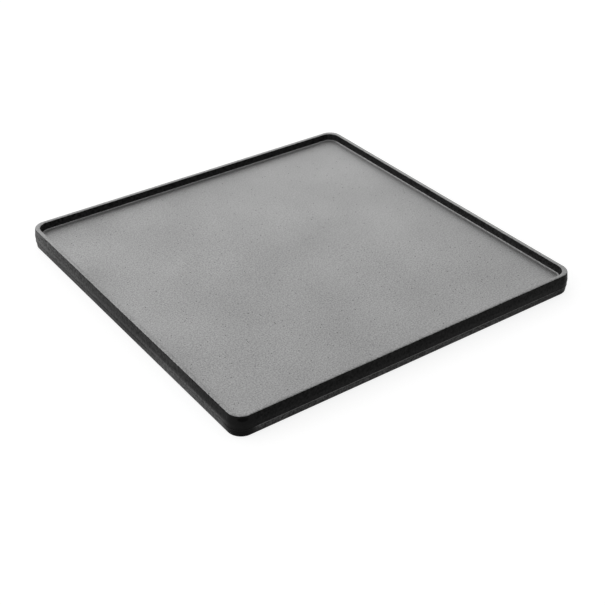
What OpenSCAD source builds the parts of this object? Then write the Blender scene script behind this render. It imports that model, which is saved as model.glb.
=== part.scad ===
// Camp griddle plate: a square iron casting with a low rim round a flat cooking deck.
// The wall swells to a slight belly, and a fine ridge marks the parting plane below it.
// The origin is the middle of the standing face, X and Y run along the sides, and Z is up.

/* [Plate] */
// Outside width, along X, at the belly of the wall
plate_w = 320; // [200:1:450]
// Outside depth, along Y, at the belly of the wall
plate_d = 320; // [200:1:450]
// Overall height, from the stove to the top of the rim
plate_h = 18; // [15:0.5:30]
// Outside radius of the four corners, seen from above
corner_r = 12; // [10:0.5:40]

/* [Rim] */
// Width of the top of the rim along the sides, between its sharp edges
lip_w = 3.4; // [2.8:0.1:6.5]
// How much smaller the radius of the inner corners is than that of the outside; less widens the lip there
inner_corner_less = 2; // [0:0.5:2.5]
// Radius of the two top edges of the rim
lip_edge_r = 0.9; // [0.3:0.1:1.2]
// Height of the belly, where the wall is widest
belly_z = 11; // [8:0.5:14]
// Radius of the belly, seen in section
belly_r = 8; // [2:1:20]
// Draft of the outer face above the belly, in degrees
upper_draft = 7.5; // [1:0.5:12]
// Draft of the outer face from the belly down to the parting plane, in degrees
lower_draft = 3.5; // [0.5:0.5:8]
// Draft of the inner face, in degrees
inner_draft = 6; // [0:0.5:12]
// Radius of the fillet at the foot of the inner face
foot_fillet_r = 2; // [0.5:0.1:2.5]
// Distance from the foot of the inner face to the edge of the deck, which leaves room for the fillet
deck_land = 2.5; // [2.3:0.1:4.5]

/* [Cooking deck] */
// Depth of the cooking recess, from the top of the rim to the deck
recess_depth = 6; // [4:0.5:9]
// Thickness of the deck
deck_t = 5; // [3:0.5:8]

/* [Skirt] */
// Height of the parting plane above the stove
skirt_h = 6.4; // [3.5:0.1:9.5]
// Taper of the outer face of the skirt, in degrees
skirt_taper = 5.5; // [1:0.5:15]
// Width of the standing ring, before its outer edge is rounded
foot_w = 4.2; // [3:0.1:6]
// Radius of the outer bottom edge
foot_edge_r = 1.6; // [0.3:0.1:2.2]
// Draft of the wall of the underside recess, in degrees
under_draft = 8; // [2:0.5:15]

/* [Parting ridge] */
// How far the ridge stands proud of the wall
ridge_proud = 0.2; // [0.1:0.05:0.4]
// Height of the ridge where it joins the wall
ridge_h = 0.9; // [0.6:0.1:1.5]
// Height of the flat crest of the ridge
ridge_crest_h = 0.3; // [0.1:0.1:0.5]

/* [Hidden] */
$fn = 96;
arc_steps = 6;

// Heights above the stove
deck_z = plate_h - recess_depth;
under_z = deck_z - deck_t;

// Distances in from the belly, measured square to a side
lip_in = (plate_h - belly_z) * tan(upper_draft);
wall_foot_in = lip_in + lip_w + recess_depth * tan(inner_draft);
deck_in = wall_foot_in + deck_land;
parting_in = (belly_z - skirt_h) * tan(lower_draft);
foot_out_in = parting_in + skirt_h * tan(skirt_taper);
foot_in = foot_out_in + foot_w;
under_in = foot_in + under_z * tan(under_draft);

// The ridge meets the wall half its height above and below the parting plane
ridge_top_in = parting_in - ridge_h / 2 * tan(lower_draft);
ridge_foot_in = parting_in + ridge_h / 2 * tan(skirt_taper);
ridge_crest_in = parting_in - ridge_proud;

// Radius of the inner corners at the top of the rim, seen from above, and how far in their centres lie
inner_corner_r = corner_r - inner_corner_less;
inner_centre_in = lip_in + lip_w + inner_corner_r;

// How far a section is drawn past the edge that cuts it
past = 2;

// Cross-section of the block as corners [x, z, radius], from x = 0 at the belly to past a corner's centre
block_corners = [
    [-corner_r - past, 0, 0],
    [-foot_out_in, 0, foot_edge_r],
    [-ridge_foot_in, skirt_h - ridge_h / 2, 0],
    [-ridge_crest_in, skirt_h - ridge_crest_h / 2, 0],
    [-ridge_crest_in, skirt_h + ridge_crest_h / 2, 0],
    [-ridge_top_in, skirt_h + ridge_h / 2, 0],
    [0, belly_z, belly_r],
    [-lip_in, plate_h, lip_edge_r],
    [-corner_r - past, plate_h, 0]
];

// Cross-section of the hollow inside the wall: the underside, the room for the deck and the cooking recess
hollow_corners = [
    [-inner_centre_in - past, -past, 0],
    [-foot_in + past * tan(under_draft), -past, 0],
    [-under_in, under_z, 0],
    [-deck_in, under_z, 0],
    [-deck_in, deck_z, 0],
    [-wall_foot_in, deck_z, foot_fillet_r],
    [-lip_in - lip_w, plate_h, lip_edge_r],
    [-lip_in - lip_w / 2, plate_h, 0],
    [-lip_in - lip_w / 2, plate_h + past, 0],
    [-inner_centre_in - past, plate_h + past, 0]
];

function unit(v) = v / norm(v);

// Points of the arc of radius r that rounds the corner at p, on the way from a to b
function corner_arc(a, p, b, r) =
    let (
        to_a = unit(a - p),
        to_b = unit(b - p),
        half_angle = acos(to_a * to_b) / 2,
        centre = p + unit(to_a + to_b) * r / sin(half_angle),
        first = p + to_a * r / tan(half_angle) - centre,
        last = p + to_b * r / tan(half_angle) - centre,
        start = atan2(first.y, first.x),
        turn = atan2(first.x * last.y - first.y * last.x, first * last)
    )
    [for (i = [0:arc_steps])
        centre + r * [cos(start + turn * i / arc_steps), sin(start + turn * i / arc_steps)]];

// A closed outline with each corner rounded to its own radius
function rounded(corners) =
    let (n = len(corners), flat = [for (c = corners) [c.x, c.y]])
    [for (i = [0:n - 1])
        each corners[i].z > 0
            ? corner_arc(flat[(i + n - 1) % n], flat[i], flat[(i + 1) % n], corners[i].z)
            : [flat[i]]];

// A cross-section between two heights, with x = 0 at the corners' centres, which lie centre_in from the belly
module section(corners, centre_in, low, high) {
    intersection() {
        translate([centre_in, 0])
            polygon(rounded(corners));
        translate([0, low])
            square([plate_w, high - low]);
    }
}

// A solid with this cross-section at its edge: two crossing bars and four turned corners
module carried_round(corners, centre_in, low, high) {
    half_w = plate_w / 2 - centre_in;
    half_d = plate_d / 2 - centre_in;
    for (turn = [0, 90]) {
        across = turn == 0 ? half_w : half_d;
        along = turn == 0 ? half_d : half_w;
        rotate([90, 0, turn])
            linear_extrude(2 * along, center = true) {
                for (side = [0, 1])
                    mirror([side, 0])
                        translate([across, 0])
                            section(corners, centre_in, low, high);
                translate([-across, low])
                    square([2 * across, high - low]);
            }
        for (opposite = [0, 180])
            rotate(turn + opposite)
                translate([across, along, 0])
                    rotate_extrude(angle = 90)
                        section(corners, centre_in, low, high);
    }
}

// The wall between two heights: the block without its hollow
module wall_ring(low, high) {
    difference() {
        carried_round(block_corners, corner_r, low, high);
        carried_round(hollow_corners, inner_centre_in, low - past, high + past);
    }
}

// The outline of the deck: a rectangle whose round corners share their centres with the inner face
module deck_outline() {
    half_w = plate_w / 2 - inner_centre_in;
    half_d = plate_d / 2 - inner_centre_in;
    square([plate_w - 2 * deck_in, 2 * half_d], center = true);
    square([2 * half_w, plate_d - 2 * deck_in], center = true);
    for (x = [-half_w, half_w], y = [-half_d, half_d])
        translate([x, y])
            circle(inner_centre_in - deck_in);
}

// The flat web that food lies on
module cooking_deck() {
    color("#9a9b9c")
        translate([0, 0, under_z])
            linear_extrude(deck_t)
                deck_outline();
}

// The wall above the parting plane, with the lip and the inner face
module rim() {
    color("#2b2c2d")
        wall_ring(skirt_h, plate_h);
}

// The band below the parting plane that stands on the stove
module skirt() {
    color("#3f4042")
        wall_ring(0, skirt_h);
}

cooking_deck();
rim();
skirt();
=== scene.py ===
# %% [markdown]
# A camp griddle plate
#
# The real plate is one square sand casting: a flat cooking deck inside a low rim, on a tapered skirt that
# stands on the stove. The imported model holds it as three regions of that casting, at its real size. This
# lesson models each region again with Blender's own tools, gives it the finish of the photographed plate,
# and sets it up under plain studio light.

import math

import bmesh
import bpy
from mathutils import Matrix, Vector


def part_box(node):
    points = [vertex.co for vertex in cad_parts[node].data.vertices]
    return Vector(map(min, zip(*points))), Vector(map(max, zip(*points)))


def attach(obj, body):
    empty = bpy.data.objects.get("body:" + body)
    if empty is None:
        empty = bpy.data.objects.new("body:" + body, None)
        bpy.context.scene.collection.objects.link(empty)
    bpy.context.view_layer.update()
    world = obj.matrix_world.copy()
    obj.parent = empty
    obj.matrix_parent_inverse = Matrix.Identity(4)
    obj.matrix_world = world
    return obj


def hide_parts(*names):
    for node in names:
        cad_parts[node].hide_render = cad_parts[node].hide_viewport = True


MM = 0.001

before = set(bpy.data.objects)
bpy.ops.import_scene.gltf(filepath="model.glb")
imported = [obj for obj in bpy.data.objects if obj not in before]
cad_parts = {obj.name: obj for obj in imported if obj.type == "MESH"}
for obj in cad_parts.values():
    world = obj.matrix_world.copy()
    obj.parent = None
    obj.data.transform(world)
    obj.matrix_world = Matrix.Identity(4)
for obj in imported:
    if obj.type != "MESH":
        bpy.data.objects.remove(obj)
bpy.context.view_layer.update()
print("packed regions:", ", ".join(sorted(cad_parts)))

# %% [markdown]
# The sizes
#
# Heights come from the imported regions, so the new pieces meet exactly where the old ones do. What a box
# can't tell, such as a radius or a draft angle, is a named size here. Every distance named "in" is measured
# inwards from the belly, the widest line of the wall, because that is how a wall section is drawn.

# %% Heights and sides
deck_low, deck_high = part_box("cooking_deck")
rim_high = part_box("rim")[1]
skirt_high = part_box("skirt")[1]

rim_top = rim_high.z
deck_top = deck_high.z
deck_under = deck_low.z
parting_z = skirt_high.z
deck_half = deck_high.x

plate_half = 160 * MM
corner_radius = 12 * MM
inner_corner_radius = 10 * MM
print("the sharp belly stands", round((plate_half - rim_high.x) / MM, 3), "mm outside the rounded one")

# %% Section of the wall
belly_z = 11 * MM
belly_radius = 8 * MM
lip_width = 3.4 * MM
lip_edge_radius = 0.9 * MM
fillet_radius = 2 * MM
foot_width = 4.2 * MM
foot_edge_radius = 1.6 * MM
foot_inner_radius = 0.6 * MM
ridge_proud = 0.2 * MM
ridge_height = 0.9 * MM
ridge_crest = 0.3 * MM

upper_draft = math.tan(math.radians(7.5))
lower_draft = math.tan(math.radians(3.5))
inner_draft = math.tan(math.radians(6))
skirt_taper = math.tan(math.radians(5.5))
under_draft = math.tan(math.radians(8))

lip_in = (rim_top - belly_z) * upper_draft
inner_foot_in = lip_in + lip_width + (rim_top - deck_top) * inner_draft
deck_in = plate_half - deck_half
parting_in = (belly_z - parting_z) * lower_draft
foot_in = parting_in + parting_z * skirt_taper
under_foot_in = foot_in + foot_width
under_parting_in = under_foot_in + parting_z * under_draft
under_deck_in = under_foot_in + deck_under * under_draft

crest_in = parting_in - ridge_proud
ridge_top_in = parting_in - ridge_height / 2 * lower_draft
ridge_foot_in = parting_in + ridge_height / 2 * skirt_taper
print("rim wall is", round((inner_foot_in - lip_in) / MM, 2), "mm thick at the deck")

# %% Centres of the corners
outer_centre = plate_half - corner_radius
inner_centre = plate_half - lip_in - lip_width - inner_corner_radius
split_line = plate_half - lip_in - lip_width / 2
deck_corner_radius = deck_half - inner_centre
print("inner corners turn", round((outer_centre - inner_centre) / MM, 2), "mm further in than outer ones")

# %% [markdown]
# The camera
#
# The photograph was matched with a camera of 70 mm on a 36 mm sensor, which sees the plate from in front
# and to the left, about 34 degrees down. The lens is set first, because everything after it is judged
# through it. No shift is used, so that the same camera can be carried round the plate.

# %% Camera
camera_place = Vector((-0.4750, -0.6753, 0.5143))
camera_aim = Vector((-0.04115, -0.07011, 0.018))

camera_data = bpy.data.cameras.new("camera")
camera_data.lens = 70
camera_data.sensor_width = 36
camera = bpy.data.objects.new("camera", camera_data)
bpy.context.scene.collection.objects.link(camera)
camera.location = camera_place
camera.rotation_euler = (camera_aim - camera_place).to_track_quat("-Z", "Y").to_euler()
bpy.context.scene.camera = camera
print("camera to plate, mm:", round((camera_aim - camera_place).length / MM))

# %% [markdown]
# Helpers for working in edit mode
#
# By hand, a modeller clicks on vertices, edges or faces and then runs a tool on them. A script has no
# mouse, so `pick` selects by a rule instead: it looks at each element of the open mesh and keeps the ones
# that the rule says yes to. `edit` opens one piece alone, because every operator acts on all that is
# selected.

# %% Select by a rule
SLACK = 0.005 * MM


def edit(piece):
    """Opens one piece, and only that one, in edit mode."""
    bpy.ops.object.select_all(action="DESELECT")
    piece.select_set(True)
    bpy.context.view_layer.objects.active = piece
    bpy.ops.object.mode_set(mode="EDIT")


def pick(piece, kind, wanted):
    """Selects the VERT, EDGE or FACE elements of the open mesh that the rule wants, and counts them."""
    bpy.ops.mesh.select_all(action="DESELECT")
    bpy.ops.mesh.select_mode(type=kind)
    mesh = bmesh.from_edit_mesh(piece.data)
    elements = {"VERT": mesh.verts, "EDGE": mesh.edges, "FACE": mesh.faces}[kind]
    chosen = [element for element in elements if wanted(element)]
    for element in chosen:
        element.select_set(True)
    mesh.select_flush_mode()
    bmesh.update_edit_mesh(piece.data)
    return len(chosen)


print("two places count as one within", round(SLACK / MM, 3), "mm")

# %% Finish and measure a piece
def apply_modifier(piece, kind, **settings):
    """Adds a modifier with its settings and applies it at once."""
    modifier = piece.modifiers.new(kind.lower(), kind)
    for name, value in settings.items():
        setattr(modifier, name, value)
    with bpy.context.temp_override(object=piece, active_object=piece, selected_objects=[piece]):
        bpy.ops.object.modifier_apply(modifier=modifier.name)


def size_of(piece):
    """The piece's size in mm and its count of faces, for the printed notes."""
    sides = [round(side / MM, 2) for side in piece.dimensions]
    return f"{piece.name}: {sides} mm, {len(piece.data.polygons)} faces"


# %% [markdown]
# Drawing a wall section
#
# A casting's wall is a section carried round a path, like a picture frame. The section is drawn as by hand:
# one vertex is put on the first corner and extruded to each next one, and the loop is filled with a face.
# Then each corner is rounded with a vertex bevel. A bevel asks how far to back off along the edges, so the
# wanted radius is turned into that length with the corner's own angle. The face is taken out again at the
# end, because only the outline is swept.

# %% Draw and round a section
ARC_STEPS = 6


def draw_section(name, corners):
    """An outline in the XZ plane; each corner is a distance in from the belly, a height and a radius."""
    places = [Vector((plate_half - inset, 0, height)) for inset, height, radius in corners]
    bpy.ops.object.select_all(action="DESELECT")
    bpy.ops.mesh.primitive_plane_add(size=MM)
    piece = bpy.context.object
    piece.name = name
    piece.data.name = name
    bpy.ops.object.mode_set(mode="EDIT")
    bpy.ops.mesh.select_mode(type="VERT")
    bpy.ops.mesh.select_all(action="SELECT")
    bpy.ops.mesh.merge(type="CENTER")
    bpy.ops.transform.translate(value=places[0])
    for start, end in zip(places, places[1:]):
        bpy.ops.mesh.extrude_vertices_move(TRANSFORM_OT_translate={"value": end - start})
    bpy.ops.mesh.select_all(action="SELECT")
    bpy.ops.mesh.edge_face_add()
    for index, (inset, height, radius) in enumerate(corners):
        if radius > 0:
            round_corner(piece, places[index - 1], places[index], places[(index + 1) % len(places)], radius)
    pick(piece, "FACE", lambda face: True)
    bpy.ops.mesh.delete(type="ONLY_FACE")
    outline = bmesh.from_edit_mesh(piece.data)
    print(name, "section:", len(corners), "corners,", len(outline.verts), "points once they are rounded")
    return piece


def round_corner(piece, before, corner, after, radius):
    """Bevels the vertex at one corner of a section."""
    half_angle = (before - corner).angle(after - corner) / 2
    pick(piece, "VERT", lambda vertex: (vertex.co - corner).length < SLACK)
    bpy.ops.mesh.bevel(
        offset=radius / math.tan(half_angle), segments=ARC_STEPS, affect="VERTICES", clamp_overlap=False
    )


# %% [markdown]
# Carrying a section round the plate
#
# A quarter of the wall is enough: half of one side, one corner and half of the next side. The half sides are
# repeated extrudes, which leave an edge about every two millimetres for the sand-cast relief, and the corner
# is a spin about the corner's centre. With no window, a spin turns clockwise seen from the tip of its axis,
# so the angle is negative.
#
# On this plate the inner corners are rounder than a line parallel to the outer ones would be, so the lip
# grows wider there, and the two sides of the wall turn about different centres. One spin can't make both.
# The outline is therefore cut in two along the lip and along the flat below it, each strip is carried round
# its own centre in the same number of steps, and bridges close the two flats again. A mirror makes the
# other three quarters. It turns faces inside out, so the normals are recalculated at the end.

# %% Divide a section
SECTION_STEP = 1.1 * MM
MOST_CUTS = 10


def lies_outside(edge):
    """True for the edges of an outline on the outer side of the split line."""
    return all(vertex.co.x > split_line for vertex in edge.verts)


def lies_inside(edge):
    """True for the edges of an outline on the inner side of the split line."""
    return all(vertex.co.x < split_line for vertex in edge.verts)


def crosses_split(edge):
    """True for the two edges of an outline that join its outer and inner side."""
    return not lies_outside(edge) and not lies_inside(edge)


def split_long_edges(piece, is_hidden):
    """Cuts the outline's visible edges into lengths of about SECTION_STEP."""
    for cuts in range(1, MOST_CUTS):
        def is_due(edge):
            return round(edge.calc_length() / SECTION_STEP) == cuts + 1 and not is_hidden(edge)
        if pick(piece, "EDGE", is_due):
            bpy.ops.mesh.subdivide(number_cuts=cuts)


print("an outline gets an edge about every", round(SECTION_STEP / MM, 1), "mm")

# %% Sweep a section
SIDE_STEP = 1.8 * MM
CORNER_STEPS = 24


def sweep_strip(centre):
    """Carries the selected strip along half a side, round a corner's centre and along half a side."""
    side_steps = math.ceil(inner_centre / SIDE_STEP)
    lead_steps = round((centre - inner_centre) / SIDE_STEP)
    side_stride = inner_centre / side_steps
    bpy.ops.mesh.extrude_repeat(steps=side_steps, offset=(0, side_stride, 0))
    if lead_steps:
        lead_stride = (centre - inner_centre) / lead_steps
        bpy.ops.mesh.extrude_repeat(steps=lead_steps, offset=(0, lead_stride, 0))
    bpy.ops.mesh.spin(
        steps=CORNER_STEPS - 2 * lead_steps, angle=math.radians(-90),
        center=(centre, centre, 0), axis=(0, 0, 1),
    )
    if lead_steps:
        bpy.ops.mesh.extrude_repeat(steps=lead_steps, offset=(-lead_stride, 0, 0))
    bpy.ops.mesh.extrude_repeat(steps=side_steps, offset=(-side_stride, 0, 0))


def sweep_round(piece, flats):
    """Carries both strips round a quarter, bridges the flats at these heights and mirrors it in X and Y."""
    pick(piece, "EDGE", crosses_split)
    bpy.ops.mesh.delete(type="EDGE")
    for is_strip, centre in ((lies_outside, outer_centre), (lies_inside, inner_centre)):
        pick(piece, "EDGE", lambda edge: edge.is_wire and is_strip(edge))
        sweep_strip(centre)
    for flat in flats:
        def borders_flat(edge):
            return edge.is_boundary and all(abs(vertex.co.z - flat) < SLACK for vertex in edge.verts)
        pick(piece, "EDGE", borders_flat)
        bpy.ops.mesh.bridge_edge_loops(number_cuts=1, interpolation="LINEAR")
    bpy.ops.object.mode_set(mode="OBJECT")
    apply_modifier(piece, "MIRROR", use_axis=(True, True, False), merge_threshold=SLACK)
    edit(piece)
    bpy.ops.mesh.select_all(action="SELECT")
    bpy.ops.mesh.normals_make_consistent(inside=False)
    bpy.ops.object.mode_set(mode="OBJECT")


print("a side gets an edge about every", round(SIDE_STEP / MM, 1), "mm, and a corner", CORNER_STEPS, "steps")

# %% [markdown]
# The relief that sand leaves
#
# Iron poured into sand never comes out dead flat. Close up there are low pebbles a few millimetres wide, and
# over the whole plate the face swells and dips by a tenth of a millimetre or so. Both are real shape here: a
# Displace modifier moves the vertices by a cloud texture. A vertex group holds the edges where two regions
# meet, so that no crack opens between them.

# %% Sand relief
RELIEF_PEBBLE_WIDTH = 3.4 * MM
RELIEF_PEBBLE_HEIGHT = 0.10 * MM
RELIEF_SWELL_WIDTH = 46 * MM
RELIEF_SWELL_HEIGHT = 0.16 * MM
RELIEF_GROUP = "free_of_seams"
SEAM_HOLD = 1.2 * MM
SEAM_EASE = 3.0 * MM

# The grey of a cloud pattern that moves nothing: darker sinks and lighter rises
STILL_GREY = 0.5


def cloud_texture(name, width):
    """A cloud pattern whose lumps are about this wide."""
    texture = bpy.data.textures.new(name, "CLOUDS")
    texture.noise_scale = width
    texture.noise_depth = 1
    return texture


pebble_pattern = cloud_texture("sand_pebbles", RELIEF_PEBBLE_WIDTH)
swell_pattern = cloud_texture("mould_swell", RELIEF_SWELL_WIDTH)


def from_belly(place):
    """How far in from the belly a point lies, measured square to the inner face, round corners included."""
    past_x = abs(place.x) - inner_centre
    past_y = abs(place.y) - inner_centre
    if past_x > 0 and past_y > 0:
        return plate_half - inner_centre - math.hypot(past_x, past_y)
    return plate_half - inner_centre - max(past_x, past_y)


def sand_relief(piece, seam_distance):
    """Raises pebbles and slow swells, fading to nothing where seam_distance(vertex) is small."""
    group = piece.vertex_groups.new(name=RELIEF_GROUP)
    for vertex in piece.data.vertices:
        free = (seam_distance(vertex.co) - SEAM_HOLD) / SEAM_EASE
        group.add([vertex.index], min(max(free, 0), 1), "REPLACE")
    # Applying a modifier makes the piece's groups anew, so the group is called by its name from here on
    for pattern, height in ((pebble_pattern, RELIEF_PEBBLE_HEIGHT), (swell_pattern, RELIEF_SWELL_HEIGHT)):
        apply_modifier(
            piece, "DISPLACE", texture=pattern, texture_coords="LOCAL", direction="NORMAL",
            strength=height, mid_level=STILL_GREY, vertex_group=RELIEF_GROUP,
        )
    piece.vertex_groups.clear()


print("relief patterns:", pebble_pattern.name, "and", swell_pattern.name)

# %% [markdown]
# The rim
#
# The rim is the wall above the parting line: a ridge at its foot, a belly, a narrow lip with round edges, a
# drafted inner face and a fillet that runs out onto the deck. It could be a bevelled curve, but a section
# that is drawn and swept keeps each radius and draft at its real size.

# %% Model the rim
rim = draw_section(
    "rim_wall",
    [
        (under_parting_in, parting_z, 0),
        (crest_in, parting_z, 0),
        (crest_in, parting_z + ridge_crest / 2, 0),
        (ridge_top_in, parting_z + ridge_height / 2, 0),
        (0, belly_z, belly_radius),
        (lip_in, rim_top, lip_edge_radius),
        (lip_in + lip_width, rim_top, lip_edge_radius),
        (inner_foot_in, deck_top, fillet_radius),
        (deck_in, deck_top, 0),
        (deck_in, deck_under, 0),
        (under_deck_in, deck_under, 0),
    ],
)


def inside_rim(edge):
    """True for the rim's edges against the deck and the skirt, and for the lip, which is bridged later."""
    middle = (edge.verts[0].co + edge.verts[1].co) / 2
    return middle.x < plate_half - deck_in + SLACK or middle.z < parting_z + SLACK or crosses_split(edge)


split_long_edges(rim, inside_rim)
sweep_round(rim, (parting_z, rim_top))


def from_rim_seams(place):
    """How far a point of the rim is from the deck's edge and from the parting plane."""
    from_deck = math.hypot(deck_in - from_belly(place), max(place.z - deck_top, 0))
    return min(from_deck, place.z - parting_z)


sand_relief(rim, from_rim_seams)
print(size_of(rim))

# %% [markdown]
# The skirt
#
# The skirt is the band under the parting line. It tapers in towards the stove, its outer bottom edge is well
# rounded, and its inner face opens into the hollow underside. It is drawn and swept in the same way, and
# half of the parting ridge belongs to it.

# %% Model the skirt
skirt = draw_section(
    "skirt_band",
    [
        (under_foot_in, 0, foot_inner_radius),
        (foot_in, 0, foot_edge_radius),
        (ridge_foot_in, parting_z - ridge_height / 2, 0),
        (crest_in, parting_z - ridge_crest / 2, 0),
        (crest_in, parting_z, 0),
        (under_parting_in, parting_z, 0),
    ],
)


def inside_skirt(edge):
    """True for the edges of the skirt that touch the rim or the stove."""
    middle = (edge.verts[0].co + edge.verts[1].co) / 2
    return middle.z > parting_z - SLACK or middle.z < SLACK


split_long_edges(skirt, inside_skirt)
sweep_round(skirt, (0, parting_z))


def from_skirt_seams(place):
    """How far a point of the skirt is from the parting plane and from the stove."""
    return min(parting_z - place.z, place.z)


sand_relief(skirt, from_skirt_seams)
print(size_of(skirt))

# %% [markdown]
# The cooking deck
#
# The deck is the flat web inside the rim. A scaled cube would give its shape, but the sand relief needs
# vertices all over, so a grid of small squares is the start. The outer edge of the grid is extruded down to
# the underside and filled there, and a Boolean with a bevelled block rounds the four corners to follow the
# rim.

# %% Model the deck
DECK_STEP = 1.22 * MM
deck_thickness = deck_top - deck_under

bpy.ops.object.select_all(action="DESELECT")
deck_squares = round(2 * deck_half / DECK_STEP)
bpy.ops.mesh.primitive_grid_add(
    x_subdivisions=deck_squares, y_subdivisions=deck_squares, size=2 * deck_half
)
deck = bpy.context.object
deck.name = "deck_plate"
deck.data.name = "deck_plate"
edit(deck)
bpy.ops.mesh.select_all(action="SELECT")
bpy.ops.transform.translate(value=(0, 0, deck_top))
bpy.ops.object.mode_set(mode="OBJECT")


def from_deck_edge(place):
    """How far a point of the deck is from the rim."""
    return from_belly(place) - deck_in


sand_relief(deck, from_deck_edge)
edit(deck)
bpy.ops.mesh.select_all(action="SELECT")
bpy.ops.mesh.region_to_loop()
bpy.ops.mesh.extrude_edges_move(TRANSFORM_OT_translate={"value": (0, 0, -deck_thickness)})
bpy.ops.mesh.edge_face_add()
bpy.ops.mesh.select_all(action="SELECT")
bpy.ops.mesh.normals_make_consistent(inside=False)
bpy.ops.object.mode_set(mode="OBJECT")
print("deck of", deck_squares, "squares each way")

# %% Round the deck's corners
bpy.ops.object.select_all(action="DESELECT")
bpy.ops.mesh.primitive_cube_add(size=2)
block = bpy.context.object
edit(block)
bpy.ops.transform.resize(value=(deck_half, deck_half, plate_half))


def is_upright(edge):
    """True for the four edges of the block that stand up."""
    return abs(edge.verts[0].co.z - edge.verts[1].co.z) > plate_half


pick(block, "EDGE", is_upright)
bpy.ops.mesh.bevel(offset=deck_corner_radius, segments=CORNER_STEPS, affect="EDGES")
bpy.ops.object.mode_set(mode="OBJECT")
apply_modifier(deck, "BOOLEAN", operation="INTERSECT", object=block, solver="EXACT")
bpy.data.objects.remove(block)
print(size_of(deck))

# %% [markdown]
# Helpers for the finishes
#
# A finish is a small tree of nodes. `add_node` makes one node, sets it up and links it, so that each
# material below reads as a list of what it is made of. Colours are written as the sRGB values that a colour
# picker shows, and `ink` turns them into the linear light that Cycles works with. `per_mm` turns the width
# of a pattern in millimetres into the scale that texture nodes ask for.

# %% Node helpers
def ink(hex_colour):
    """Turns an sRGB hex colour into linear RGBA."""
    channels = [int(hex_colour[start:start + 2], 16) / 255 for start in (1, 3, 5)]
    linear = [c / 12.92 if c <= 0.04045 else ((c + 0.055) / 1.055) ** 2.4 for c in channels]
    return (*linear, 1)


def per_mm(width):
    """The scale at which a texture node repeats once in this many millimetres."""
    return 1 / (width * MM)


def add_node(tree, kind, settings=None, inputs=None):
    """Adds one node, sets its properties, and sets or links its inputs."""
    node = tree.nodes.new(kind)
    for name, value in (settings or {}).items():
        setattr(node, name, value)
    for socket, value in (inputs or {}).items():
        if isinstance(value, bpy.types.NodeSocket):
            tree.links.new(value, node.inputs[socket])
        else:
            node.inputs[socket].default_value = value
    return node


def new_finish(name):
    """A material with an empty node tree, its output node, and Object coordinates."""
    material = bpy.data.materials.new(name)
    material.use_nodes = True
    tree = material.node_tree
    tree.nodes.clear()
    output = add_node(tree, "ShaderNodeOutputMaterial")
    coordinates = add_node(tree, "ShaderNodeTexCoord")
    return material, tree, output, coordinates


print("half grey on screen is", round(ink("#808080")[0], 3), "in linear light")

# %% [markdown]
# Grey iron with painted sheen
#
# The cooking face is painted grey, and the grey is painted sheen: it stands in for the light above as black
# seasoned iron mirrors it. It is a satin metal with a fine pebbled grain, faint clouds where the sand packed
# differently, and here and there a small dark pit. Metal has no colour of its own to scatter, so it is fully
# metallic, and a roughness near a half spreads what it mirrors into a soft sheen. That is why the black inner
# wall shows as a soft dark band along the foot of the rim. The face is painted a little paler and its grain
# fainter towards the back corner, which is painted light.
#
# The pits could be modelled, but they are smaller than the mesh is fine. They come from a cell pattern: each
# cell draws a number, and the cells that draw a low one hold a pit.

# %% Pits in the iron
PIT_SPACING = 3.0
PIT_RADIUS = 0.6
PIT_FLOOR_RADIUS = 0.18
PIT_SHARE = 0.25


def iron_pits(tree, place):
    """The mask of the pits in bare iron."""
    cells = add_node(
        tree, "ShaderNodeTexVoronoi", {"feature": "F1"}, {"Vector": place, "Scale": per_mm(PIT_SPACING)}
    )
    near_centre = add_node(
        tree, "ShaderNodeMapRange", {"interpolation_type": "SMOOTHSTEP"},
        {
            "Value": cells.outputs["Distance"],
            "From Min": PIT_RADIUS / PIT_SPACING, "From Max": PIT_FLOOR_RADIUS / PIT_SPACING,
        },
    )
    lottery = add_node(tree, "ShaderNodeSeparateColor", inputs={"Color": cells.outputs["Color"]})
    drawn = add_node(
        tree, "ShaderNodeMath", {"operation": "LESS_THAN"}, {0: lottery.outputs["Red"], 1: PIT_SHARE}
    )
    pits = add_node(
        tree, "ShaderNodeMath", {"operation": "MULTIPLY"}, {0: near_centre.outputs[0], 1: drawn.outputs[0]}
    )
    return pits.outputs[0]


print("pits are up to", 2 * PIT_RADIUS, "mm wide")

# %% Tone and grain of the iron
# This grey is painted sheen: it stands in for the light above as black seasoned iron mirrors it
IRON_SHEEN_GREY = "#A6A6A6"
PIT_GREY = "#3A3A3A"
NOISE_LOW = 0.3
NOISE_HIGH = 0.7
CLOUD_WIDTH = 60
CLOUD_DETAIL = 3
CLOUD_TONE = (0.975, 1.025)
CLOUD_ROUGHNESS = (0.50, 0.42)
PEBBLE_WIDTH = 2.2
# Real sand grain is about half this wide. It is drawn coarser, so that it shows at the photograph's scale
GRAIN_WIDTH = 1.1
GRAIN_DETAIL = 1
GRAIN_TONE = (0.76, 1.24)
TOWARDS_BACK = (1, 1, 0)
# Towards the back the face is painted paler and its grain fainter: painted light
BACK_LIGHT_FROM = 0
BACK_LIGHT_TO = 260 * MM
BACK_LIGHT_TONE = 1.15
BACK_LIGHT_EVENNESS = 0.6


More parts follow.
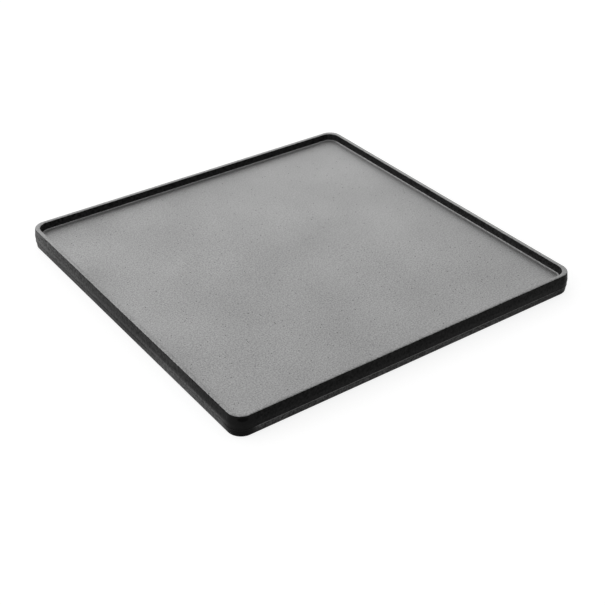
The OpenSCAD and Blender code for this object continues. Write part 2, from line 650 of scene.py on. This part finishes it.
def grey_sheen_iron(tree, coordinates, grey):
    """The colour, roughness and bump height of cast iron of this grey, painted paler towards the back."""
    place = coordinates.outputs["Object"]
    pits = iron_pits(tree, place)
    clouds, pebbles, grain = [
        add_node(
            tree, "ShaderNodeTexNoise", inputs={"Vector": place, "Scale": per_mm(width), "Detail": detail}
        ).outputs["Fac"]
        for width, detail in (
            (CLOUD_WIDTH, CLOUD_DETAIL), (PEBBLE_WIDTH, GRAIN_DETAIL), (GRAIN_WIDTH, GRAIN_DETAIL),
        )
    ]
    cloud_tone, grain_tone, roughness = [
        add_node(
            tree, "ShaderNodeMapRange",
            inputs={
                "Value": noise, "From Min": NOISE_LOW, "From Max": NOISE_HIGH,
                "To Min": least, "To Max": most,
            },
        ).outputs[0]
        for noise, (least, most) in ((clouds, CLOUD_TONE), (grain, GRAIN_TONE), (clouds, CLOUD_ROUGHNESS))
    ]
    towards_back = add_node(
        tree, "ShaderNodeVectorMath", {"operation": "DOT_PRODUCT"}, {0: place, 1: TOWARDS_BACK}
    )
    # Painted light: paler, with fainter grain, towards the back
    pale, evenness = [
        add_node(
            tree, "ShaderNodeMapRange",
            inputs={
                "Value": towards_back.outputs["Value"], "From Min": BACK_LIGHT_FROM, "From Max": BACK_LIGHT_TO,
                "To Min": least, "To Max": most,
            },
        ).outputs[0]
        for least, most in ((1.0, BACK_LIGHT_TONE), (0.0, BACK_LIGHT_EVENNESS))
    ]
    evened = add_node(
        tree, "ShaderNodeMix", {"data_type": "FLOAT"}, {"Factor": evenness, "A": grain_tone, "B": 1.0}
    )
    patchy = add_node(
        tree, "ShaderNodeMath", {"operation": "MULTIPLY"}, {0: cloud_tone, 1: evened.outputs["Result"]}
    )
    tone = add_node(tree, "ShaderNodeMath", {"operation": "MULTIPLY"}, {0: patchy.outputs[0], 1: pale})
    shaded = add_node(
        tree, "ShaderNodeVectorMath", {"operation": "SCALE"}, {0: grey, "Scale": tone.outputs[0]}
    )
    colour = add_node(
        tree, "ShaderNodeMix", {"data_type": "RGBA"},
        {"Factor": pits, "A": shaded.outputs[0], "B": ink(PIT_GREY)},
    )
    grains = add_node(tree, "ShaderNodeMath", {"operation": "ADD"}, {0: grain, 1: pebbles})
    height = add_node(tree, "ShaderNodeMath", {"operation": "SUBTRACT"}, {0: grains.outputs[0], 1: pits})
    return colour.outputs["Result"], roughness, height.outputs[0]


print("iron grain is", GRAIN_WIDTH, "mm wide")

# %% Grey iron with painted sheen on the deck
GRAIN_HEIGHT = 0.06 * MM


def deck_finish():
    """Grey iron all over, for the cooking deck; its grey is painted sheen."""
    material, tree, output, coordinates = new_finish("grey_iron_painted_sheen")
    colour, roughness, height = grey_sheen_iron(tree, coordinates, ink(IRON_SHEEN_GREY)[:3])
    bump = add_node(
        tree, "ShaderNodeBump", inputs={"Strength": 1.0, "Distance": GRAIN_HEIGHT, "Height": height}
    )
    surface = add_node(
        tree, "ShaderNodeBsdfPrincipled",
        inputs={"Base Color": colour, "Metallic": 1.0, "Roughness": roughness, "Normal": bump.outputs[0]},
    )
    tree.links.new(surface.outputs[0], output.inputs["Surface"])
    return material


deck_iron = deck_finish()
print("finish:", deck_iron.name, len(deck_iron.node_tree.nodes), "nodes")

# %% [markdown]
# Black seasoning
#
# The walls carry the black coat that oil leaves when it is baked onto iron. It is thin and nearly black, a
# plain dielectric with a very low specular level, and a fine mottle shows where it took unevenly. Over the
# coat lie painted light and shade. The low part of the wall is painted lighter along the front and the left,
# a painted reflection, and the left side a little paler, painted light. The parting ridge carries a painted
# highlight, brightest along the front. The front corner is painted in shade: the ridge and the mottle give
# way there, and a spot of painted shade sits under the lip. The left corner is painted pale, painted light.
# The faces that look inwards are painted a little lighter, for the light they catch. The wall is painted
# darker towards the foot, a painted shade, except where the low part is painted lighter.
#
# The marks could be painted by hand on an unwrapped image. Here nodes work them out, like a painter who masks
# off each mark and sprays it over the last one. The functions below make the masks, numbers from 0 to 1 that
# depend only on the place on the plate and on where its face looks, so that the marks stay put from whichever
# side the plate is seen.

# %% Painted light along the front and on the left
# Painted light along the front begins at one distance along this direction and is full at the next
FRONT_LIGHT_DIRECTION = (0.4, 1, 0)
FRONT_LIGHT_FROM = -63 * MM
FRONT_LIGHT_FULL = -143 * MM

# On the front corner, where x + y is lowest, the wall is painted in shade
CORNER_SHADE_FROM = -300 * MM
CORNER_SHADE_TO = -308 * MM

# Painted light on the left side begins at one place along it and is full at the next
LEFT_FROM_X = -150 * MM
LEFT_TO_X = -157 * MM
LEFT_LIGHT_FROM_Y = -125 * MM
LEFT_LIGHT_FULL_Y = -85 * MM


def front_light_masks(tree, place):
    """The masks of the painted light along the front, and of all but the shaded front corner."""
    from_front = add_node(
        tree, "ShaderNodeVectorMath", {"operation": "DOT_PRODUCT"}, {0: place, 1: FRONT_LIGHT_DIRECTION}
    )
    front = add_node(
        tree, "ShaderNodeMapRange", {"interpolation_type": "SMOOTHSTEP"},
        {"Value": from_front.outputs["Value"], "From Min": FRONT_LIGHT_FROM, "From Max": FRONT_LIGHT_FULL},
    )
    towards_back = add_node(
        tree, "ShaderNodeVectorMath", {"operation": "DOT_PRODUCT"}, {0: place, 1: TOWARDS_BACK}
    )
    off_shaded_corner = add_node(
        tree, "ShaderNodeMapRange", {"interpolation_type": "SMOOTHSTEP"},
        {"Value": towards_back.outputs["Value"], "From Min": CORNER_SHADE_TO, "From Max": CORNER_SHADE_FROM},
    )
    front_light = add_node(
        tree, "ShaderNodeMath", {"operation": "MULTIPLY"}, {0: front.outputs[0], 1: off_shaded_corner.outputs[0]}
    )
    return front_light.outputs[0], off_shaded_corner.outputs[0]


def left_light_masks(tree, axes):
    """The masks of the left side, and of the painted light along it."""
    on_left = add_node(
        tree, "ShaderNodeMapRange",
        inputs={"Value": axes.outputs["X"], "From Min": LEFT_FROM_X, "From Max": LEFT_TO_X},
    )
    along_left = add_node(
        tree, "ShaderNodeMapRange", {"interpolation_type": "SMOOTHSTEP"},
        {"Value": axes.outputs["Y"], "From Min": LEFT_LIGHT_FROM_Y, "From Max": LEFT_LIGHT_FULL_Y},
    )
    left_light = add_node(
        tree, "ShaderNodeMath", {"operation": "MULTIPLY"}, {0: on_left.outputs[0], 1: along_left.outputs[0]}
    )
    return on_left.outputs[0], left_light.outputs[0]


# The painted light along the front fades in over this length
print("rubbing fades over", round((FRONT_LIGHT_FROM - FRONT_LIGHT_FULL) / MM), "mm")

# %% Painted reflection low down, and painted highlight on the ridge
# The low part of the wall is painted lighter, a painted reflection, up to the parting plane on the front and
# up to this height on the left
LOW_SHEEN_HIGH_Z = 9.8 * MM
LOW_SHEEN_BLUR = 0.8 * MM
# The painted highlight on the ridge is weaker on the left side by this much
RIDGE_HIGHLIGHT_LESS_ON_LEFT = 0.6


def low_sheen_mask(tree, axes, on_left, front_light):
    """The mask of the painted reflection that lightens the wall below the parting plane, and higher up on the
    left side.
    """
    low_sheen_top = add_node(
        tree, "ShaderNodeMapRange", inputs={"Value": on_left, "To Min": parting_z, "To Max": LOW_SHEEN_HIGH_Z}
    )
    above_low_sheen = add_node(
        tree, "ShaderNodeMath", {"operation": "SUBTRACT"}, {0: axes.outputs["Z"], 1: low_sheen_top.outputs[0]}
    )
    is_low = add_node(
        tree, "ShaderNodeMapRange", {"interpolation_type": "SMOOTHSTEP"},
        {"Value": above_low_sheen.outputs[0], "From Min": LOW_SHEEN_BLUR, "From Max": -LOW_SHEEN_BLUR},
    )
    low_sheen = add_node(tree, "ShaderNodeMath", {"operation": "MULTIPLY"}, {0: is_low.outputs[0], 1: front_light})
    return low_sheen.outputs[0]


def ridge_highlight_mask(tree, axes, on_left, front_light):
    """The mask of the painted highlight on the parting ridge, which is weaker on the left side."""
    highlight_reach = add_node(
        tree, "ShaderNodeMath", {"operation": "MULTIPLY_ADD"},
        {0: on_left, 1: -RIDGE_HIGHLIGHT_LESS_ON_LEFT, 2: front_light},
    )
    from_parting = add_node(
        tree, "ShaderNodeMath", {"operation": "SUBTRACT"}, {0: axes.outputs["Z"], 1: parting_z}
    )
    distance = add_node(tree, "ShaderNodeMath", {"operation": "ABSOLUTE"}, {0: from_parting.outputs[0]})
    is_ridge = add_node(
        tree, "ShaderNodeMapRange", {"interpolation_type": "SMOOTHSTEP"},
        {"Value": distance.outputs[0], "From Min": ridge_height / 2, "From Max": ridge_crest / 2},
    )
    ridge = add_node(
        tree, "ShaderNodeMath", {"operation": "MULTIPLY", "use_clamp": True},
        {0: is_ridge.outputs[0], 1: highlight_reach.outputs[0]},
    )
    return ridge.outputs[0]


# The painted reflection low down reaches these heights
print("dust lies", round(parting_z / MM, 1), "mm high on the front, and", LOW_SHEEN_HIGH_Z / MM, "mm on the left")

# %% Painted light on the left corner, painted shade on the front corner
# The left corner is where y - x is highest
TOWARDS_LEFT = (-1, 1, 0)
# The left corner is painted paler, painted light, growing steeply towards it
LIT_CORNER_FROM = 60 * MM
LIT_CORNER_TO = 320 * MM
LIT_CORNER_STEEPNESS = 3.5

# The spot of painted shade under the lip of the front corner is about twice as wide as it is high
SHADE_SPOT_PLACE = Vector((-153.0, -158.3, 15.3)) * MM
SHADE_SPOT_SQUEEZE = Vector((1, 1, 2.2))
SHADE_SPOT_RADIUS = 5 * MM
SHADE_SPOT_CORE_RADIUS = 2.5 * MM


def lit_left_corner(tree, place):
    """The mask of the painted light on the left corner."""
    towards_left = add_node(
        tree, "ShaderNodeVectorMath", {"operation": "DOT_PRODUCT"}, {0: place, 1: TOWARDS_LEFT}
    )
    nearness = add_node(
        tree, "ShaderNodeMapRange",
        inputs={"Value": towards_left.outputs["Value"], "From Min": LIT_CORNER_FROM, "From Max": LIT_CORNER_TO},
    )
    corner_light = add_node(
        tree, "ShaderNodeMath", {"operation": "POWER"}, {0: nearness.outputs[0], 1: LIT_CORNER_STEEPNESS}
    )
    return corner_light.outputs[0]


def shade_spot_under_lip(tree, place):
    """The mask of the spot of painted shade under the lip of the front corner."""
    squeezed = add_node(
        tree, "ShaderNodeVectorMath", {"operation": "MULTIPLY"}, {0: place, 1: SHADE_SPOT_SQUEEZE}
    )
    from_shade_spot = add_node(
        tree, "ShaderNodeVectorMath", {"operation": "DISTANCE"},
        {0: squeezed.outputs[0], 1: SHADE_SPOT_PLACE * SHADE_SPOT_SQUEEZE},
    )
    shade_spot = add_node(
        tree, "ShaderNodeMapRange", {"interpolation_type": "SMOOTHSTEP"},
        {"Value": from_shade_spot.outputs["Value"], "From Min": SHADE_SPOT_RADIUS, "From Max": SHADE_SPOT_CORE_RADIUS},
    )
    return shade_spot.outputs[0]


# The spot of painted shade is this wide
print("pool is", round(2 * SHADE_SPOT_RADIUS / MM), "mm wide")

# %% Inner faces and painted shade on the foot
# The wall is painted darker towards the foot, painted shade, from this height down
FOOT_SHADE_TOP_Z = 9 * MM
FOOT_SHADE_TONE = 0.15


def inner_faces(tree, coordinates):
    """The mask of the faces that look in towards the middle of the plate. They carry none of the other marks,
    and a lighter black, painted light, goes over them.
    """
    outwards = add_node(
        tree, "ShaderNodeVectorMath", {"operation": "DOT_PRODUCT"},
        {0: coordinates.outputs["Normal"], 1: coordinates.outputs["Object"]},
    )
    faces_in = add_node(
        tree, "ShaderNodeMath", {"operation": "LESS_THAN"}, {0: outwards.outputs["Value"], 1: 0.0}
    )
    return faces_in.outputs[0]


def foot_shade_tone(tree, axes, low_sheen):
    """How much of the light is left by the painted shade that darkens the wall towards the foot, which the
    lighter low part lifts again.
    """
    foot_shade = add_node(
        tree, "ShaderNodeMapRange",
        inputs={"Value": axes.outputs["Z"], "From Min": 0.0, "From Max": FOOT_SHADE_TOP_Z, "To Min": FOOT_SHADE_TONE},
    )
    lifted = add_node(
        tree, "ShaderNodeMix", {"data_type": "FLOAT"}, {"Factor": low_sheen, "A": foot_shade.outputs[0], "B": 1.0}
    )
    return lifted.outputs["Result"]


# The painted shade on the foot reaches this high
print("soot reaches", round(FOOT_SHADE_TOP_Z / MM), "mm up")

# %% Paint the coat
# COAT_BLACK is the coat's own black. The others stand in for light and shade: painted light on the left side,
# a painted reflection low down, a painted highlight on the ridge, painted light on the left corner, a spot of
# painted shade under the lip, and a lighter black for the inner faces, painted light
COAT_BLACK = "#191919"
LEFT_LIGHT_BLACK = "#262626"
LOW_SHEEN_BLACK = "#404040"
RIDGE_HIGHLIGHT_BLACK = "#707070"
LIT_CORNER_BLACK = "#575757"
SHADE_SPOT_BLACK = "#060606"
INNER_LIT_BLACK = "#1E1E1E"
COAT_GRAIN_WIDTH = 1.8
COAT_CLOUD_WIDTH = 24
COAT_DETAIL = 2
COAT_MOTTLE = (0.25, 1.75)
COAT_ROUGHNESS = (0.30, 0.42)


def black_coat(tree, coordinates):
    """The colour, roughness and bump height of the black coat, with painted light and shade laid on it, each
    mark over the last one.
    """
    place = coordinates.outputs["Object"]
    axes = add_node(tree, "ShaderNodeSeparateXYZ", inputs={"Vector": place})
    front_light, off_shaded_corner = front_light_masks(tree, place)
    on_left, left_light = left_light_masks(tree, axes)
    low_sheen = low_sheen_mask(tree, axes, on_left, front_light)
    ridge = ridge_highlight_mask(tree, axes, on_left, front_light)
    coat = ink(COAT_BLACK)
    for mask, black in (
        (left_light, LEFT_LIGHT_BLACK),
        (low_sheen, LOW_SHEEN_BLACK),
        (ridge, RIDGE_HIGHLIGHT_BLACK),
        (lit_left_corner(tree, place), LIT_CORNER_BLACK),
        (shade_spot_under_lip(tree, place), SHADE_SPOT_BLACK),
        (inner_faces(tree, coordinates), INNER_LIT_BLACK),
    ):
        coat = add_node(
            tree, "ShaderNodeMix", {"data_type": "RGBA"}, {"Factor": mask, "A": coat, "B": ink(black)}
        ).outputs["Result"]

    grain, clouds = [
        add_node(
            tree, "ShaderNodeTexNoise",
            inputs={"Vector": place, "Scale": per_mm(width), "Detail": COAT_DETAIL},
        ).outputs["Fac"]
        for width in (COAT_GRAIN_WIDTH, COAT_CLOUD_WIDTH)
    ]
    mottle, roughness = [
        add_node(
            tree, "ShaderNodeMapRange",
            inputs={
                "Value": noise, "From Min": NOISE_LOW, "From Max": NOISE_HIGH,
                "To Min": least, "To Max": most,
            },
        ).outputs[0]
        for noise, (least, most) in ((grain, COAT_MOTTLE), (clouds, COAT_ROUGHNESS))
    ]

    # The mottle is gone in the painted shade of the front corner and under the painted highlight on the ridge
    unevenness = add_node(tree, "ShaderNodeMath", {"operation": "SUBTRACT"}, {0: off_shaded_corner, 1: ridge})
    evened = add_node(
        tree, "ShaderNodeMix", {"data_type": "FLOAT"},
        {"Factor": unevenness.outputs[0], "A": 1.0, "B": mottle},
    )
    tone = add_node(
        tree, "ShaderNodeMath", {"operation": "MULTIPLY"},
        {0: evened.outputs["Result"], 1: foot_shade_tone(tree, axes, low_sheen)},
    )
    mottled = add_node(
        tree, "ShaderNodeVectorMath", {"operation": "SCALE"}, {0: coat, "Scale": tone.outputs[0]}
    )
    return mottled.outputs[0], roughness, grain


print("coat mottled every", COAT_GRAIN_WIDTH, "mm")

# %% [markdown]
# The finish of the rim
#
# On the rim the top of the lip and the fillet at the foot of the inner face are painted grey iron where they
# look up. The grey is painted sheen from the light above, and the paler grey of the fillet a painted
# highlight.
# The face's own direction decides that, with a little noise so that the edge isn't ruled. One mask mixes
# every property of the two finishes, as a painter would work with one stencil.

# %% Black seasoning on the rim, with painted sheen where it looks up
COAT_SPECULAR = 0.03
COAT_GRAIN_HEIGHT = 0.16 * MM
NOISE_MIDDLE = (NOISE_LOW + NOISE_HIGH) / 2
# The lip's grey is painted sheen, and the fillet's paler grey a painted highlight
LIP_SHEEN_GREY = "#9C9C9C"
FILLET_HIGHLIGHT_GREY = "#B2B2B2"

# Painted sheen begins where a face looks up this much, and is full at the next value
LIP_SHEEN = (0.58, 0.86)
FILLET_SHEEN = (0.72, 0.90)
LIP_RAGGED = 0.35
FOOT_RAGGED = 0.12


def rim_finish():
    """Black seasoning with painted sheen on the lip and a painted highlight on the fillet, where they look
    up.
    """
    material, tree, output, coordinates = new_finish("seasoned_iron_painted_sheen")
    axes = add_node(tree, "ShaderNodeSeparateXYZ", inputs={"Vector": coordinates.outputs["Object"]})
    is_lip = add_node(
        tree, "ShaderNodeMath", {"operation": "GREATER_THAN"},
        {0: axes.outputs["Z"], 1: (deck_top + rim_top) / 2},
    ).outputs[0]
    grey = add_node(
        tree, "ShaderNodeMix", {"data_type": "RGBA"},
        {"Factor": is_lip, "A": ink(FILLET_HIGHLIGHT_GREY), "B": ink(LIP_SHEEN_GREY)},
    )
    iron_colour, iron_roughness, iron_height = grey_sheen_iron(tree, coordinates, grey.outputs["Result"])
    coat_colour, coat_roughness, coat_height = black_coat(tree, coordinates)
    facing = add_node(tree, "ShaderNodeSeparateXYZ", inputs={"Vector": coordinates.outputs["Normal"]})
    raggedness, starts, ends = [
        add_node(
            tree, "ShaderNodeMapRange", inputs={"Value": is_lip, "To Min": foot, "To Max": lip}
        ).outputs[0]
        for foot, lip in zip((FOOT_RAGGED, *FILLET_SHEEN), (LIP_RAGGED, *LIP_SHEEN))
    ]
    swing = add_node(
        tree, "ShaderNodeMath", {"operation": "SUBTRACT"}, {0: coat_height, 1: NOISE_MIDDLE}
    )
    ragged = add_node(
        tree, "ShaderNodeMath", {"operation": "MULTIPLY_ADD"},
        {0: swing.outputs[0], 1: raggedness, 2: facing.outputs["Z"]},
    )
    # Faces that look up get the grey iron: painted sheen on the lip, a painted highlight on the fillet
    top_sheen = add_node(
        tree, "ShaderNodeMapRange", {"interpolation_type": "SMOOTHSTEP"},
        {"Value": ragged.outputs[0], "From Min": starts, "From Max": ends},
    )
    colour = add_node(
        tree, "ShaderNodeMix", {"data_type": "RGBA"},
        {"Factor": top_sheen.outputs[0], "A": coat_colour, "B": iron_colour},
    )
    roughness, height = [
        add_node(
            tree, "ShaderNodeMix", {"data_type": "FLOAT"},
            {"Factor": top_sheen.outputs[0], "A": coated, "B": sheened},
        ).outputs["Result"]
        for coated, sheened in ((coat_roughness, iron_roughness), (coat_height, iron_height))
    ]
    bump = add_node(
        tree, "ShaderNodeBump", inputs={"Strength": 1.0, "Distance": COAT_GRAIN_HEIGHT, "Height": height}
    )
    surface = add_node(
        tree, "ShaderNodeBsdfPrincipled",
        inputs={
            "Base Color": colour.outputs["Result"], "Metallic": top_sheen.outputs[0], "Roughness": roughness,
            "Specular IOR Level": COAT_SPECULAR, "Normal": bump.outputs[0],
        },
    )
    tree.links.new(surface.outputs[0], output.inputs["Surface"])
    return material


rim_iron = rim_finish()
print("finish:", rim_iron.name, len(rim_iron.node_tree.nodes), "nodes")

# %% [markdown]
# The finish of the skirt
#
# The skirt has the same coat all over. It shares the pattern with the rim and reads the same places, so the
# painted light and shade run on across the parting line without a break.

# %% Black seasoning on the skirt
def skirt_finish():
    """Black seasoning with its painted light and shade all over, for the band that stands on the stove."""
    material, tree, output, coordinates = new_finish("seasoned_iron")
    colour, roughness, height = black_coat(tree, coordinates)
    bump = add_node(
        tree, "ShaderNodeBump", inputs={"Strength": 1.0, "Distance": COAT_GRAIN_HEIGHT, "Height": height}
    )
    surface = add_node(
        tree, "ShaderNodeBsdfPrincipled",
        inputs={
            "Base Color": colour, "Roughness": roughness, "Specular IOR Level": COAT_SPECULAR,
            "Normal": bump.outputs[0],
        },
    )
    tree.links.new(surface.outputs[0], output.inputs["Surface"])
    return material


skirt_iron = skirt_finish()
print("finish:", skirt_iron.name, len(skirt_iron.node_tree.nodes), "nodes")

# %% [markdown]
# Putting the pieces in the frame
#
# Each piece gets its finish and smooth shading, which is kept sharp where two faces meet at a clear angle.
# Then it is tied to the imported model: it rides on the one body, and the region that it stands for is
# hidden.
# region's material slot.

# %% Finish and tie the pieces
SHARP_ANGLE = math.radians(32)

for piece, iron, node, slot in (
    (deck, deck_iron, "cooking_deck", "deck_face"),
    (rim, rim_iron, "rim", "rim_wall"),
    (skirt, skirt_iron, "skirt", "skirt_band"),
):
    piece.data.materials.clear()
    piece.data.materials.append(iron)
    bpy.ops.object.select_all(action="DESELECT")
    piece.select_set(True)
    bpy.context.view_layer.objects.active = piece
    bpy.ops.object.shade_smooth_by_angle(angle=SHARP_ANGLE)
    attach(piece, "root")
    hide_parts(node)
    print(piece.name, "stands for", node)

# %% [markdown]
# The floor
#
# The photograph shows the plate cut out on white. A sheet of plain pale paper gives the same look from every
# side and still takes the plate's own shadow. Lit at a level where the plate's colours render as they are
# written, paper comes out grey. So for rays that come from the camera, or by way of a shiny or clear surface,
# it also glows by the amount that is missing to white. What it scatters onto the plate stays as it was.

# %% Floor
PAPER_GREY = "#A0A0A0"
PAPER_GLOW = 0.79
FLOOR_SIZE = 12

bpy.ops.object.select_all(action="DESELECT")
bpy.ops.mesh.primitive_plane_add(size=FLOOR_SIZE)
floor = bpy.context.object
floor.name = "floor"

floor_paint = bpy.data.materials.new("white_paper")
floor_paint.use_nodes = True
paper = floor_paint.node_tree
paper.nodes.clear()
rays = add_node(paper, "ShaderNodeLightPath")
camera_or_glossy = add_node(
    paper, "ShaderNodeMath", {"operation": "MAXIMUM"},
    {0: rays.outputs["Is Camera Ray"], 1: rays.outputs["Is Glossy Ray"]},
)
seen = add_node(
    paper, "ShaderNodeMath", {"operation": "MAXIMUM"},
    {0: camera_or_glossy.outputs[0], 1: rays.outputs["Is Transmission Ray"]},
)
glow_strength = add_node(
    paper, "ShaderNodeMath", {"operation": "MULTIPLY"}, {0: seen.outputs[0], 1: PAPER_GLOW}
)
matt = add_node(paper, "ShaderNodeBsdfDiffuse", inputs={"Color": ink(PAPER_GREY)})
glow = add_node(paper, "ShaderNodeEmission", inputs={"Strength": glow_strength.outputs[0]})
both = add_node(paper, "ShaderNodeAddShader", inputs={0: matt.outputs[0], 1: glow.outputs[0]})
add_node(paper, "ShaderNodeOutputMaterial", inputs={"Surface": both.outputs[0]})
floor.data.materials.append(floor_paint)
print("floor, m:", FLOOR_SIZE)

# %% [markdown]
# The light
#
# A studio for dark, shiny things is a bright, even room: the object mirrors the walls. Here the sky is that
# room. It is brightest low down behind the plate and to the left, where the photograph's light stood, and
# dims overhead and towards the front right. A soft window on the left lights the left side of the wall.
# Along the horizon it is white all round, so that a low view has a white background on every side.
# Everything is soft, so no lamp is needed.

# %% Sky
SKY_BRIGHT = 1.45
SKY_DIM = 0.50
SKY_OVERHEAD = 0.50
WINDOW_BRIGHT = 1.0
bright_side = Vector((-0.45, 0.89, 0))
window_side = Vector((-0.97, -0.05, 0.25)).normalized()

# Each pair says where a change begins and ends: 1 is straight towards that side, or straight up
BRIGHT_RANGE = (-0.8, 0.9)
OVERHEAD_RANGE = (0.25, 0.95)
WINDOW_RANGE = (0.75, 0.98)
HORIZON_RANGE = (0.32, 0.20)

world = bpy.data.worlds.new("white_studio")
bpy.context.scene.world = world
world.use_nodes = True
sky = world.node_tree
sky.nodes.clear()
direction = add_node(sky, "ShaderNodeTexCoord").outputs["Generated"]
sky_axes = add_node(sky, "ShaderNodeSeparateXYZ", inputs={"Vector": direction})
towards_light, towards_window = [
    add_node(
        sky, "ShaderNodeVectorMath", {"operation": "DOT_PRODUCT"}, {0: direction, 1: side}
    ).outputs["Value"]
    for side in (bright_side, window_side)
]
side_tone = add_node(
    sky, "ShaderNodeMapRange", {"interpolation_type": "SMOOTHSTEP"},
    {
        "Value": towards_light, "From Min": BRIGHT_RANGE[0], "From Max": BRIGHT_RANGE[1],
        "To Min": SKY_DIM, "To Max": SKY_BRIGHT,
    },
)
height_tone = add_node(
    sky, "ShaderNodeMapRange",
    inputs={
        "Value": sky_axes.outputs["Z"], "From Min": OVERHEAD_RANGE[0], "From Max": OVERHEAD_RANGE[1],
        "To Min": 1.0, "To Max": SKY_OVERHEAD,
    },
)
window = add_node(
    sky, "ShaderNodeMapRange", {"interpolation_type": "SMOOTHSTEP"},
    {
        "Value": towards_window, "From Min": WINDOW_RANGE[0], "From Max": WINDOW_RANGE[1],
        "To Max": WINDOW_BRIGHT,
    },
)
horizon = add_node(
    sky, "ShaderNodeMapRange", {"interpolation_type": "SMOOTHSTEP"},
    {"Value": sky_axes.outputs["Z"], "From Min": HORIZON_RANGE[0], "From Max": HORIZON_RANGE[1]},
)
room = add_node(
    sky, "ShaderNodeMath", {"operation": "MULTIPLY_ADD"},
    {0: side_tone.outputs[0], 1: height_tone.outputs[0], 2: window.outputs[0]},
)
room_and_horizon = add_node(
    sky, "ShaderNodeMath", {"operation": "MAXIMUM"}, {0: room.outputs[0], 1: horizon.outputs[0]}
)
background = add_node(
    sky, "ShaderNodeBackground", inputs={"Color": ink("#FFFFFF"), "Strength": room_and_horizon.outputs[0]}
)
add_node(sky, "ShaderNodeOutputWorld", inputs={"Surface": background.outputs[0]})

bpy.context.scene.view_settings.view_transform = "Standard"
print("sky from", SKY_DIM, "to", SKY_BRIGHT)
